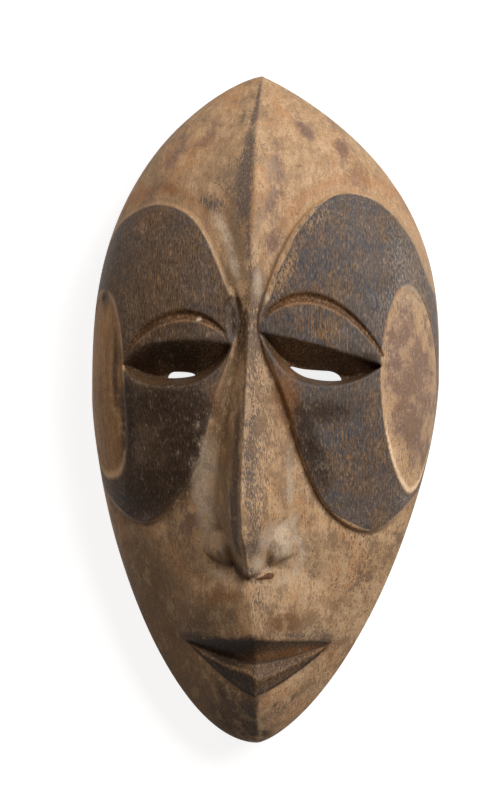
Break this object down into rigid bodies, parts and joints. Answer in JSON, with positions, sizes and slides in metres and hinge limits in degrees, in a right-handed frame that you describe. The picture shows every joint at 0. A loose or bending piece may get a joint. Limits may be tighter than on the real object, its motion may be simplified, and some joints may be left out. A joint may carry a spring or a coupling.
{
  "type": "miniature mask",
  "caption": "Small carved wooden face mask with an almond outline, a middle ridge, a long nose, slit eyes in raised dark fields and a hollowed back.",
  "frame": {"origin": "centre of the underside of the whole box, on the plane of the flat back edge", "axes": "+Y towards the crown, +Z the way the face looks, +X towards the viewer's right"},
  "size_m": [0.0787, 0.15, 0.0418],
  "materials": {
    "carved_wood": "hand-carved light wood, stained and rubbed, with blackened fields round the eyes"
  },
  "bodies": {
    "root": {"mask": "carved_wood"}
  },
  "joints": []
}
